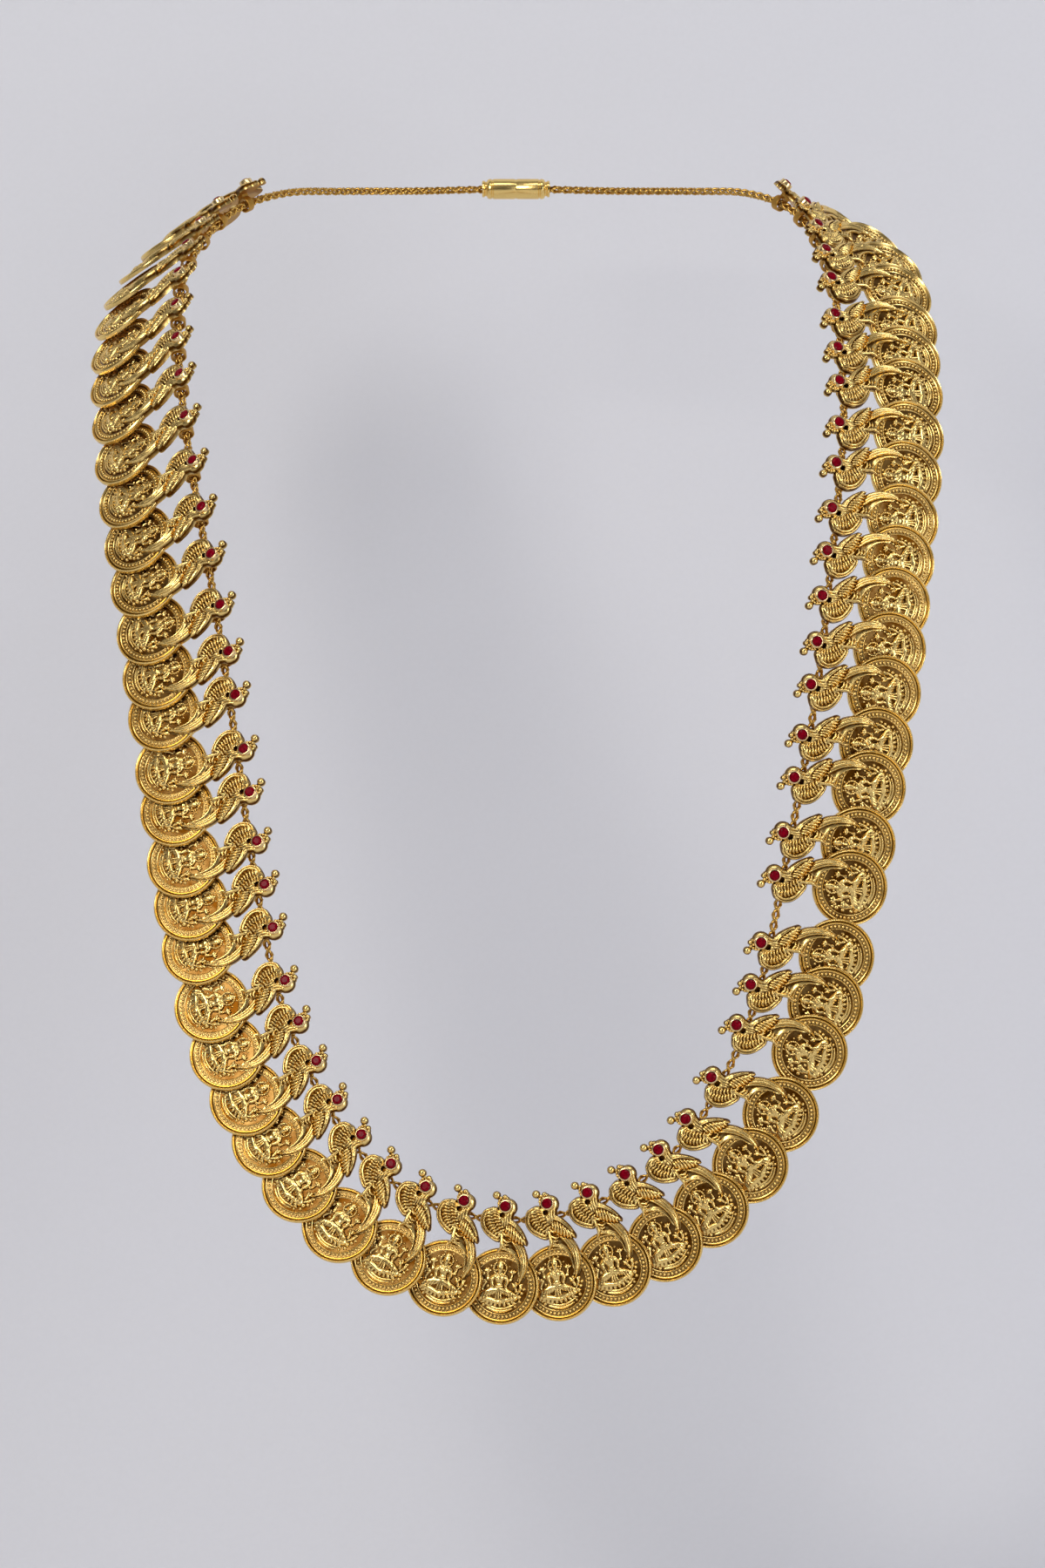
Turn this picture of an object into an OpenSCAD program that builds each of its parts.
/* [Coin] */
// Diameter of each coin
coin_d = 15; // [13:0.5:16]
// Thickness of the coin under its sunk field
field_t = 0.5; // [0.4:0.05:0.7]
// Height that the outer rim stands over the field
rim_rise = 0.4; // [0.3:0.05:0.5]
// Width of the outer rim
rim_w = 0.5; // [0.4:0.05:0.8]
// Width of the groove inside the outer rim
groove_w = 0.3; // [0.2:0.05:0.4]
// Width of the thin inner ring
inner_ring_w = 0.25; // [0.2:0.05:0.4]
// Width of the granulated band inside the inner ring
grain_band_w = 0.75; // [0.5:0.05:0.9]
// Height that the seated figure stands over the field
figure_rise = 0.85; // [0.7:0.05:0.9]

/* [Peacock] */
// Thickness of the plate that the bird is cast on
plate_t = 0.6; // [0.5:0.05:0.7]
// Radius of the breast
breast_r = 3.1; // [2.8:0.1:3.2]
// Height of the breast's middle above the coin's edge
breast_up = 4.8; // [4.4:0.1:5]
// Distance of the breast's middle to the left of the pendant's middle
breast_left = 1.9; // [1.5:0.1:2]
// Thickness of the cords round the breast
breast_cord = 0.44; // [0.3:0.02:0.5]
// Length of the wing
wing_l = 5.3; // [4.8:0.1:5.6]
// Width of the wing
wing_w = 3; // [2.6:0.1:3.2]
// Angle of the wing below level
wing_drop = 38; // [34:1:42]
// Number of barbs on the wing
wing_barbs = 6; // [5:1:8]
// Number of barbs on the breast
breast_barbs = 5; // [4:1:8]
// Thickness of each barb
barb_d = 0.34; // [0.26:0.02:0.4]
// Radius of the head
head_r = 1.75; // [1.5:0.05:1.9]
// Thickness of the neck
neck_d = 1.7; // [1.4:0.1:2]
// Radius of the arc that the neck follows
neck_bend_r = 1.9; // [1.7:0.1:2.1]
// Diameter of the large crest bead
crest_d = 1.56; // [1.2:0.02:1.7]
// Diameter of the small crest bead
crest_small_d = 1; // [0.8:0.05:1.1]
// Outer radius of the tail's curve
tail_r = 6.5; // [6.2:0.1:6.8]
// Width of the tail at its widest
tail_w = 1.7; // [1.4:0.05:1.9]
// Height that the tail stands over the coin's field
tail_rise = 0.95; // [0.8:0.05:1.1]
// Thickness of the leg
leg_d = 0.8; // [0.6:0.05:1]
// Diameter of the pierced hole under the eye
hole_d = 0.9; // [0.6:0.1:1.1]

/* [Eye] */
// Height of the eye above the coin's edge
eye_up = 8; // [7.6:0.1:8.2]
// Diameter of the ruby
stone_d = 1.9; // [1.6:0.05:2]
// Wall of the setting round the ruby
setting_wall = 0.26; // [0.2:0.02:0.34]
// Height of the setting above the plate's back
setting_top = 2.2; // [2.1:0.05:2.4]
// Gap between the ruby and its setting
stone_gap = 0.05; // [0.04:0.01:0.08]

/* [Chain] */
// Thickness of the plaited chain
chain_d = 1.6; // [1.4:0.05:1.7]
// Bore of the ring behind each bird
bail_bore = 2.5; // [2.4:0.05:2.7]
// Wall of that ring
bail_wall = 0.35; // [0.3:0.05:0.5]
// Length of that ring along the chain
bail_l = 1.6; // [1.2:0.1:1.8]
// Height of the chain above the coin's edge
chain_up = 5.5; // [5:0.1:6]
// Distance of the chain's middle behind the plate's back
chain_back = 1.95; // [1.9:0.05:2.2]

/* [Clasp] */
// Length of the barrel clasp behind the neck
clasp_l = 14; // [12:0.5:18]
// Diameter of the barrel
clasp_d = 4.2; // [3.6:0.1:5]
// Depth that each chain end reaches into the barrel
clasp_seat = 3; // [2:0.5:4]
// Gap round the chain in the barrel's bores
clasp_gap = 0.35; // [0.25:0.05:0.5]

/* [Hanging] */
// Closest spacing of two pendants along the chain
pitch = 8.6; // [8.5:0.05:8.8]
// Angle at which each pendant lies over the next one
shingle = 11; // [10.5:0.5:14]
// Place along the chain of the first pendant right of the lowest point
first_place = 7.2; // [6.8:0.1:7.6]
// Number of pendants that are single pieces
single_pendants = 40; // [40:1:40]

/* [Hidden] */
// Middle of the neck opening, from the chain's lowest point: the origin of the part
neck_middle = [0, 62, 200];

// The way of the chain as worn, from the nape down the left side, along the chest and back up.
// Each row holds a point, then how far the pendants there face upward, face outward and swing.
way = [
    [0, 118, 207.5, 150, 0, 0],
    [-20, 116.6, 207, 135, -25, 0],
    [-36, 109, 206.5, 110, -40, 0],
    [-47, 98, 205.5, 84, -45, 0],
    [-56.5, 88, 201.8, 76, -44, 0],
    [-63, 77, 195, 64, -42, 2],
    [-66.8, 64, 186, 55, -40, 2],
    [-67.4, 51, 174, 45, -38, 2],
    [-65.8, 38, 158, 38, -35, 2],
    [-63.2, 28, 142.5, 32, -30, 2],
    [-60, 20.4, 125.5, 25, -24, 2],
    [-57, 15, 107.5, 21, -19, 2],
    [-54.2, 11.4, 89, 17, -16, 2],
    [-51.5, 8.4, 70, 14, -13, 2],
    [-46.5, 5, 45, 11, -10, 1],
    [-39.8, 2.8, 28, 9, -7, 0],
    [-30.2, 1.4, 13, 8, -4, -2],
    [-16.7, 0.4, 3.2, 6, -2, -3],
    [0, 0, 0, 5, 0, -3],
    [16.8, 0.4, 3.6, 6, 2, -3],
    [31, 1.4, 13.2, 8, 4, -3],
    [40.8, 2.8, 28, 9, 7, -1],
    [47.6, 5, 45, 11, 10, 1],
    [52.9, 8.4, 70, 14, 13, 3],
    [56.6, 11.4, 89, 17, 15, 4],
    [59.7, 15, 107.5, 21, 17, 5],
    [61.8, 20.4, 125.5, 25, 19, 6],
    [63.8, 28, 142.5, 32, 20, 7],
    [65.1, 38, 158, 38, 20, 8],
    [64.7, 51, 174, 45, 20, 8],
    [63.6, 64, 186, 55, 22, 8],
    [60.8, 77, 195, 72, 28, 6],
    [55.5, 88, 201.8, 90, 38, 6],
    [47, 98, 205.5, 104, 45, 0],
    [36, 109, 206.5, 120, 40, 0],
    [20, 116.6, 207, 135, 25, 0]
];
lowest_row = 18;

// Slack that opened between neighbours as the pendants slid, as shares of the closest spacing,
// counted from the lowest point up each side
left_slack = [0, 0, 0, 0, 0, 0, 0, 0, 0, 0.25, 0, 0, 0.14, 0, 0.25, 0, 0.1, 0.22, 0.17, 0.2,
    0.24, 0.22, 0.12, 0.06, 0.14, 0.1, 0.07, 0.02, 0.14];
right_slack = [0, 0, 0, 0, 0.14, 0.34, 0, 0, 0.57, 0, 0.29, 0, 0.17, 0, 0.08, 0.07, 0.05,
    0.16, 0.1, 0.21, 0.01, 0.05, 0.27, 0.08, 0.14, 0.05, 0.02];

// The seated figure in low relief. Each row holds a stud's place across and up and its radius,
// as shares of the field's radius, and its top as a share of the figure's height.
figure_studs = [
    [-0.09, 0.62, 0.16, 1],
    [-0.08, 0.28, 0.2, 0.95],
    [-0.06, -0.08, 0.17, 0.85]
];
// Crown and flowers, as low beads in the same shares
figure_beads = [
    [-0.09, 0.87, 0.075, 0.7],
    [-0.53, 0.42, 0.12, 0.6],
    [0.37, 0.42, 0.12, 0.6]
];
// Outline of the crossed legs, in the same shares
figure_legs = [[-0.62, -0.2], [-0.3, -0.14], [0.2, -0.14], [0.53, -0.2], [0.44, -0.44], [-0.5, -0.44]];
// Raised arms, each from one place to another with half its width, in the same shares
figure_arms = [[-0.22, 0.24, -0.47, 0.4, 0.06, 0.6], [0.06, 0.24, 0.31, 0.4, 0.06, 0.6]];
// Lotus petals in a sagging row under the legs, in the same shares
lotus_petals = 5;
lotus_w = 0.88;
lotus_left = 0.06;
lotus_down = 0.58;
lotus_sag = 0.08;
petal_r = 0.105;

// Places on the bird, across and up from the top of the coin's edge
head_at = [0.35, eye_up - 0.1];
body_at = [-0.45, breast_up - 0.9];
body_r = 1.45;
wing_root = [0.6, breast_up];
neck_middle_at = [-0.6, eye_up - neck_bend_r - 0.1];
crest_up = eye_up + 2.1;
crest_at = [-2.15, crest_up];
crest_small_at = [-0.5, crest_up];
leg_top = [-0.5, 0.6];
toe_at = [-0.78, -0.62];
stem_outline = [[-1.3, -0.6], [0.9, -0.6], [1.2, breast_up], [-1.6, breast_up]];
crest_outline = [[-0.2, eye_up], [0.1, crest_up], [-2.2, crest_up + 0.3], [-2.3, crest_up - 0.3],
    [-1.4, eye_up + 0.4]];
// Middle of the tail's outer curve, radius of its inner curve and the way that it bulges
tail_middle = [-1.46, -2.96];
tail_inner_r = 8;
tail_lean = 28;
tail_root_up = 3.1;
// Tops of the bird's relief over the plate's back
body_top = plate_t + 0.95;
head_top = plate_t + 1.15;
neck_top = plate_t + 0.6;
crest_z = 0.75;

facets = 48;
small_facets = 28;
coin_r = coin_d / 2;
rim_top = field_t + rim_rise;
ring_out = coin_r - rim_w - groove_w;
ring_in = ring_out - inner_ring_w;
field_r = ring_in - grain_band_w;
// Level inside the plates from which the relief rises, so that every back stays flat
inside_z = 0.3 * field_t;
chain_r = chain_d / 2;
seat_r = stone_d / 2 + stone_gap;
setting_r = seat_r + setting_wall;
hole_at = [-0.75, eye_up - setting_r - 0.55 * hole_d];
stone_crown = 0.16 * stone_d;
stone_table = 0.6 * stone_d;
stone_girdle = 0.08 * stone_d;
stone_pavilion = 0.36 * stone_d;
stone_foot = 0.3 * stone_d;
seat_depth = stone_girdle + stone_pavilion + 2 * stone_gap;
stone_sides = 10;
chain_sides = 8;
hidden_rings = 9;
left_count = len(left_slack);
right_count = len(right_slack);
left_group = 9;

// One point of the smooth curve through four rows of the way
function curve(a, b, c, d, t) = 0.5 * (2 * b + (c - a) * t + (2 * a - 5 * b + 4 * c - d) * t * t
    + (3 * b - a - 3 * c + d) * t * t * t);
steps = 24;
rows = len(way);
fine = [
    for (i = [0:rows - 1], j = [0:steps - 1])
        curve(way[(i + rows - 1) % rows], way[i], way[(i + 1) % rows], way[(i + 2) % rows], j / steps),
    way[0]
];
function xyz(v) = [v[0], v[1], v[2]];
// Running length of the chain at each fine point
run = [
    for (i = 0, s = 0; i < len(fine); s = s + (i + 1 < len(fine) ? norm(xyz(fine[i + 1]) - xyz(fine[i])) : 0),
        i = i + 1) s
];
loop_length = run[len(run) - 1];
lowest_run = run[lowest_row * steps];
tables = [for (c = [0:5]) [for (i = [0:len(fine) - 1]) [run[i], fine[i][c]]]];
// The row of the way at a distance from the lowest point, to the right when positive
function row_at(s) = let (q = s + lowest_run)
    [for (c = [0:5]) lookup(q < 0 ? q + loop_length : q > loop_length ? q - loop_length : q, tables[c])];
function place(s) = xyz(row_at(s)) - neck_middle;
function unit(v) = v / norm(v);
function along(s) = unit(place(s + 0.5) - place(s - 0.5));
// The way that the worn surface faces at s, square to the chain
function facing(s) = let (r = row_at(s), t = along(s),
    n = [sin(r[4]), -cos(r[4]) * cos(r[3]), cos(r[4]) * sin(r[3])]) unit(n - t * (n * t));

// Distance of pendant k from the lowest point: 0 and up to the right, below 0 to the left
function sum_to(v, n) = n <= 0 ? 0 : v[n - 1] + sum_to(v, n - 1);
function spot(k) = k >= 0 ? first_place + pitch * (k + sum_to(right_slack, k))
    : first_place + pitch * (k - sum_to(left_slack, -k));

// Puts a child, drawn with the coin's middle at the origin, on the chain as pendant k
module hang(k) {
    s = spot(k);
    t = along(s);
    n = facing(s);
    r = cross(n, t);
    w = row_at(s)[5];
    across = t * cos(w) + r * sin(w);
    up = r * cos(w) - t * sin(w);
    x = across * cos(shingle) + n * sin(shingle);
    z = n * cos(shingle) - across * sin(shingle);
    o = place(s) - up * (coin_r + chain_up) + z * chain_back;
    multmatrix([
        [x[0], up[0], z[0], o[0]],
        [x[1], up[1], z[1], o[1]],
        [x[2], up[2], z[2], o[2]],
        [0, 0, 0, 1]
    ]) children();
}

// A round stud with a domed top, rising from inside the plate
module stud(at, r, top) {
    dome_r = 0.95 * r;
    shoulder = top - 0.4 * r;
    translate([at[0], at[1], inside_z]) cylinder(h = shoulder - inside_z, r = r, $fn = small_facets);
    translate([at[0], at[1], top - dome_r]) intersection() {
        sphere(dome_r, $fn = small_facets);
        translate([-r, -r, 0.3 * r]) cube([2 * r, 2 * r, r]);
    }
}

// A bead sunk in the plate, its top at a height over the plate's back
module bead(at, r, top) {
    translate([at[0], at[1], top - r]) sphere(r, $fn = small_facets);
}

// A raised bar between two places, rising from inside the plate
module bar(from, to, half_w, top) {
    d = to - from;
    translate([from[0], from[1], inside_z]) rotate([0, 0, atan2(d[1], d[0])])
        translate([0, -half_w, 0]) cube([norm(d), 2 * half_w, top - inside_z]);
}

// Coin blank: plain flat back, rim, groove, inner ring, grain band and sunk field
module coin_blank() {
    bevel = 0.3 * rim_rise;
    groove_z = field_t + 0.45 * rim_rise;
    rotate_extrude($fn = facets) polygon([
        [0, 0],
        [coin_r, 0],
        [coin_r, rim_top - bevel],
        [coin_r - bevel, rim_top],
        [coin_r - rim_w, rim_top],
        [coin_r - rim_w, groove_z],
        [ring_out, groove_z],
        [ring_out, rim_top - bevel],
        [ring_in, rim_top - bevel],
        [ring_in, groove_z],
        [field_r, groove_z],
        [field_r, field_t],
        [0, field_t]
    ]);
    rotate_extrude($fn = facets) translate([field_r + grain_band_w / 2, groove_z])
        circle(0.3 * grain_band_w, $fn = small_facets);
}

// Seated figure on a lotus, cast on the coin
module figure() {
    for (b = figure_studs)
        stud([b[0], b[1]] * field_r, b[2] * field_r, field_t + b[3] * figure_rise);
    for (b = figure_beads)
        bead([b[0], b[1]] * field_r, b[2] * field_r, field_t + b[3] * figure_rise);
    for (m = figure_arms)
        bar([m[0], m[1]] * field_r, [m[2], m[3]] * field_r, m[4] * field_r,
            field_t + m[5] * figure_rise);
    linear_extrude(field_t + 0.75 * figure_rise) polygon(figure_legs * field_r);
    for (i = [0:lotus_petals - 1]) {
        q = i / (lotus_petals - 1);
        petal_at = [lotus_w * (q - 0.5) - lotus_left, -lotus_down - lotus_sag * sin(180 * q)];
        bead(petal_at * field_r, petal_r * field_r, field_t + 0.5 * figure_rise);
    }
}

// Outline shared by a leaf of a length and a width, from the origin along x
module leaf(l, w) {
    r = (l * l + w * w) / (4 * w);
    intersection() {
        translate([l / 2, r - w / 2]) circle(r, $fn = facets);
        translate([l / 2, w / 2 - r]) circle(r, $fn = facets);
    }
}

// Flat plates that carry the bird's relief: breast, wing, stem, head and crest
module plates() {
    translate([-breast_left, breast_up, 0]) cylinder(h = plate_t, r = breast_r, $fn = facets);
    translate(wing_root) rotate([0, 0, -wing_drop]) linear_extrude(plate_t) leaf(wing_l, wing_w);
    linear_extrude(plate_t) polygon(stem_outline);
    translate(head_at) cylinder(h = plate_t, r = head_r, $fn = facets);
    linear_extrude(1.5 * plate_t) polygon(crest_outline);
}

// Breast: two cords round the outer side of its plate and a fan of barbs
module breast() {
    cord_from = 118;
    cord_turn = 178;
    barb_from = 130;
    barb_turn = 120;
    translate([-breast_left, breast_up, 0]) {
        for (c = [0.94, 0.76])
            rotate([0, 0, cord_from]) rotate_extrude(angle = cord_turn, $fn = facets)
                translate([c * breast_r - breast_cord, 0.5 * plate_t])
                    square([0.8 * breast_cord, 0.5 * plate_t + 0.6 * breast_cord]);
        for (i = [0:breast_barbs - 1])
            rotate([0, 0, barb_from + i * barb_turn / (breast_barbs - 1)])
                translate([0.2 * breast_r, 0, plate_t]) rotate([0, 90, 0])
                    cylinder(h = 0.36 * breast_r, r = barb_d / 2, $fn = small_facets);
    }
}

// Wing: barbs across its pointed plate
module wing() {
    first = 0.3 * wing_l;
    span = 0.5 * wing_l;
    barb_slant = 12;
    translate(wing_root) rotate([0, 0, -wing_drop])
        for (i = [0:wing_barbs - 1]) {
            x = first + span * i / (wing_barbs - 1);
            reach = 0.3 * wing_w * sin(180 * x / wing_l);
            translate([x, -reach, plate_t]) rotate([-90, 0, barb_slant])
                cylinder(h = 1.7 * reach, r = barb_d / 2, $fn = small_facets);
        }
}

// Tail: a long curved feather with two ribs that lies over the upper right of the coin
module tail() {
    inner_off = tail_inner_r - tail_r + tail_w;
    tail_top = field_t + 0.75 * tail_rise;
    rib = 0.2 * tail_w;
    rib_from = -24;
    rib_turn = 92;
    linear_extrude(tail_top) intersection() {
        difference() {
            translate(tail_middle) circle(tail_r, $fn = facets);
            translate(tail_middle - inner_off * [cos(tail_lean), sin(tail_lean)])
                circle(tail_inner_r, $fn = facets);
        }
        translate([-leg_d, -coin_r]) square([tail_r, coin_r + tail_root_up]);
    }
    for (c = [0.3, 0.68])
        translate([tail_middle[0], tail_middle[1], tail_top - 0.3 * rib])
            rotate([0, 0, rib_from - 14 * c]) rotate_extrude(angle = rib_turn - 10 * c, $fn = facets)
                translate([tail_r - c * tail_w - rib / 2, 0]) square([rib, rib]);
}

// Body, leg and neck of the bird, from the coin's edge up to the head
module body() {
    neck_from = -58;
    neck_turn = 118;
    stud(body_at, body_r, body_top);
    bar(leg_top, toe_at, leg_d / 2, plate_t + 0.5 * leg_d);
    bead(toe_at, 0.6 * leg_d, plate_t + 0.6 * leg_d);
    translate(neck_middle_at) rotate([0, 0, neck_from])
        rotate_extrude(angle = neck_turn, $fn = facets)
            translate([neck_bend_r - neck_d / 2, 0]) square([neck_d, neck_top]);
}

// Head with its crest of beads
module head() {
    stud(head_at, head_r - 0.1, head_top);
    bead(crest_at, crest_d / 2, crest_z + crest_d / 2);
    bead(crest_small_at, crest_small_d / 2, plate_t + 0.85);
}

// Ring soldered behind the bird, its bore along the chain
module bail() {
    outer_r = bail_bore / 2 + bail_wall;
    foot_w = 1.8;
    difference() {
        union() {
            translate([0, chain_up, -chain_back]) rotate([0, shingle, 0]) rotate([0, 90, 0])
                cylinder(h = bail_l, r = outer_r, center = true, $fn = facets);
            translate([-bail_l / 2, chain_up - foot_w / 2, bail_bore / 2 - chain_back])
                cube([bail_l, foot_w, chain_back - bail_bore / 2 + inside_z]);
        }
        translate([0, chain_up, -chain_back]) rotate([0, shingle, 0]) rotate([0, 90, 0])
            cylinder(h = 3 * bail_l, r = bail_bore / 2, center = true, $fn = facets);
    }
}

// Keeps what stands above the inside of the plates
module above_back() {
    span = 4 * coin_r;
    intersection() {
        children();
        translate([-span / 2, -span / 2, inside_z]) cube([span, span, 2 * setting_top]);
    }
}

// One cast pendant: coin, peacock, setting and ring in one piece of gold
module pendant() {
    color("goldenrod") difference() {
        union() {
            coin_blank();
            above_back() figure();
            translate([0, coin_r, 0]) {
                plates();
                tail();
                bail();
                above_back() {
                    breast();
                    wing();
                    body();
                    head();
                }
                translate([0, eye_up, inside_z])
                    cylinder(h = setting_top - inside_z, r = setting_r, $fn = facets);
            }
        }
        translate([0, coin_r + eye_up, setting_top - seat_depth])
            cylinder(h = 2 * seat_depth, r = seat_r, $fn = facets);
        translate([hole_at[0], coin_r + hole_at[1], -setting_top])
            cylinder(h = 3 * setting_top, r = hole_d / 2, $fn = small_facets);
    }
}

// A round cut ruby, its girdle level with the setting's edge
module ruby() {
    translate([0, coin_r + eye_up, setting_top - stone_girdle]) {
        cylinder(h = stone_girdle, d = stone_d, $fn = stone_sides);
        translate([0, 0, stone_girdle])
            cylinder(h = stone_crown, d1 = stone_d, d2 = stone_table, $fn = stone_sides);
        translate([0, 0, -stone_pavilion])
            cylinder(h = stone_pavilion, d1 = stone_foot, d2 = stone_d, $fn = stone_sides);
    }
}

module ruby_eyes() {
    color("crimson") for (k = [-left_count:right_count]) hang(k) ruby();
}

// Plaited carrier chain, swept with one section at each pendant and a few behind the neck
nape_left = lowest_run;
nape_right = loop_length - lowest_run;
chain_end = clasp_l / 2 - clasp_seat;
function hidden(a, b) = [for (i = [1:hidden_rings]) a + (b - a) * i / hidden_rings];
left_hidden = hidden(spot(-left_count), chain_end - nape_left);
chain_runs = concat(
    [for (i = [1:hidden_rings]) left_hidden[hidden_rings - i]],
    [for (k = [-left_count:right_count]) spot(k)],
    hidden(spot(right_count), nape_right - chain_end)
);
module carrier_chain() {
    n = len(chain_runs);
    points = [
        for (s = chain_runs) let (t = along(s), f = facing(s), r = cross(f, t), p = place(s))
            for (j = [0:chain_sides - 1]) let (a = 360 * (j + 0.5) / chain_sides)
                p + chain_r * (r * cos(a) + f * sin(a))
    ];
    sides = [
        for (i = [0:n - 2], j = [0:chain_sides - 1]) let (a = i * chain_sides, m = (j + 1) % chain_sides)
            [a + j, a + chain_sides + j, a + chain_sides + m, a + m]
    ];
    start_cap = [for (j = [0:chain_sides - 1]) j];
    end_cap = [for (j = [chain_sides - 1:-1:0]) (n - 1) * chain_sides + j];
    color("darkgoldenrod") polyhedron(points, concat([start_cap], sides, [end_cap]));
}

// Plain barrel clasp behind the neck, with a bore at each end for the chain
module clasp() {
    bore_r = chain_r + clasp_gap;
    cap = 0.2 * clasp_d;
    floor_gap = 0.5;
    color("goldenrod") translate(place(-nape_left)) rotate([0, 90, 0]) difference() {
        union() {
            cylinder(h = clasp_l - 2 * cap, d = clasp_d, center = true, $fn = facets);
            cylinder(h = clasp_l, d = clasp_d - 2 * cap, center = true, $fn = facets);
        }
        for (m = [0, 1]) mirror([0, 0, m]) translate([0, 0, chain_end - floor_gap])
            cylinder(h = clasp_l, r = bore_r, $fn = facets);
    }
}

function pendant_name(i) = str("pendant_", i < 10 ? "0" : "", i);
first_single = left_group - left_count;

module left_shoulder_pendants() {
    for (k = [-left_count:first_single - 1]) hang(k) pendant();
}
module right_shoulder_pendants() {
    for (k = [first_single + single_pendants:right_count]) hang(k) pendant();
}

for (i = [1:single_pendants])
    hang(first_single + i - 1) pendant();
left_shoulder_pendants();
right_shoulder_pendants();
ruby_eyes();
carrier_chain();
clasp();
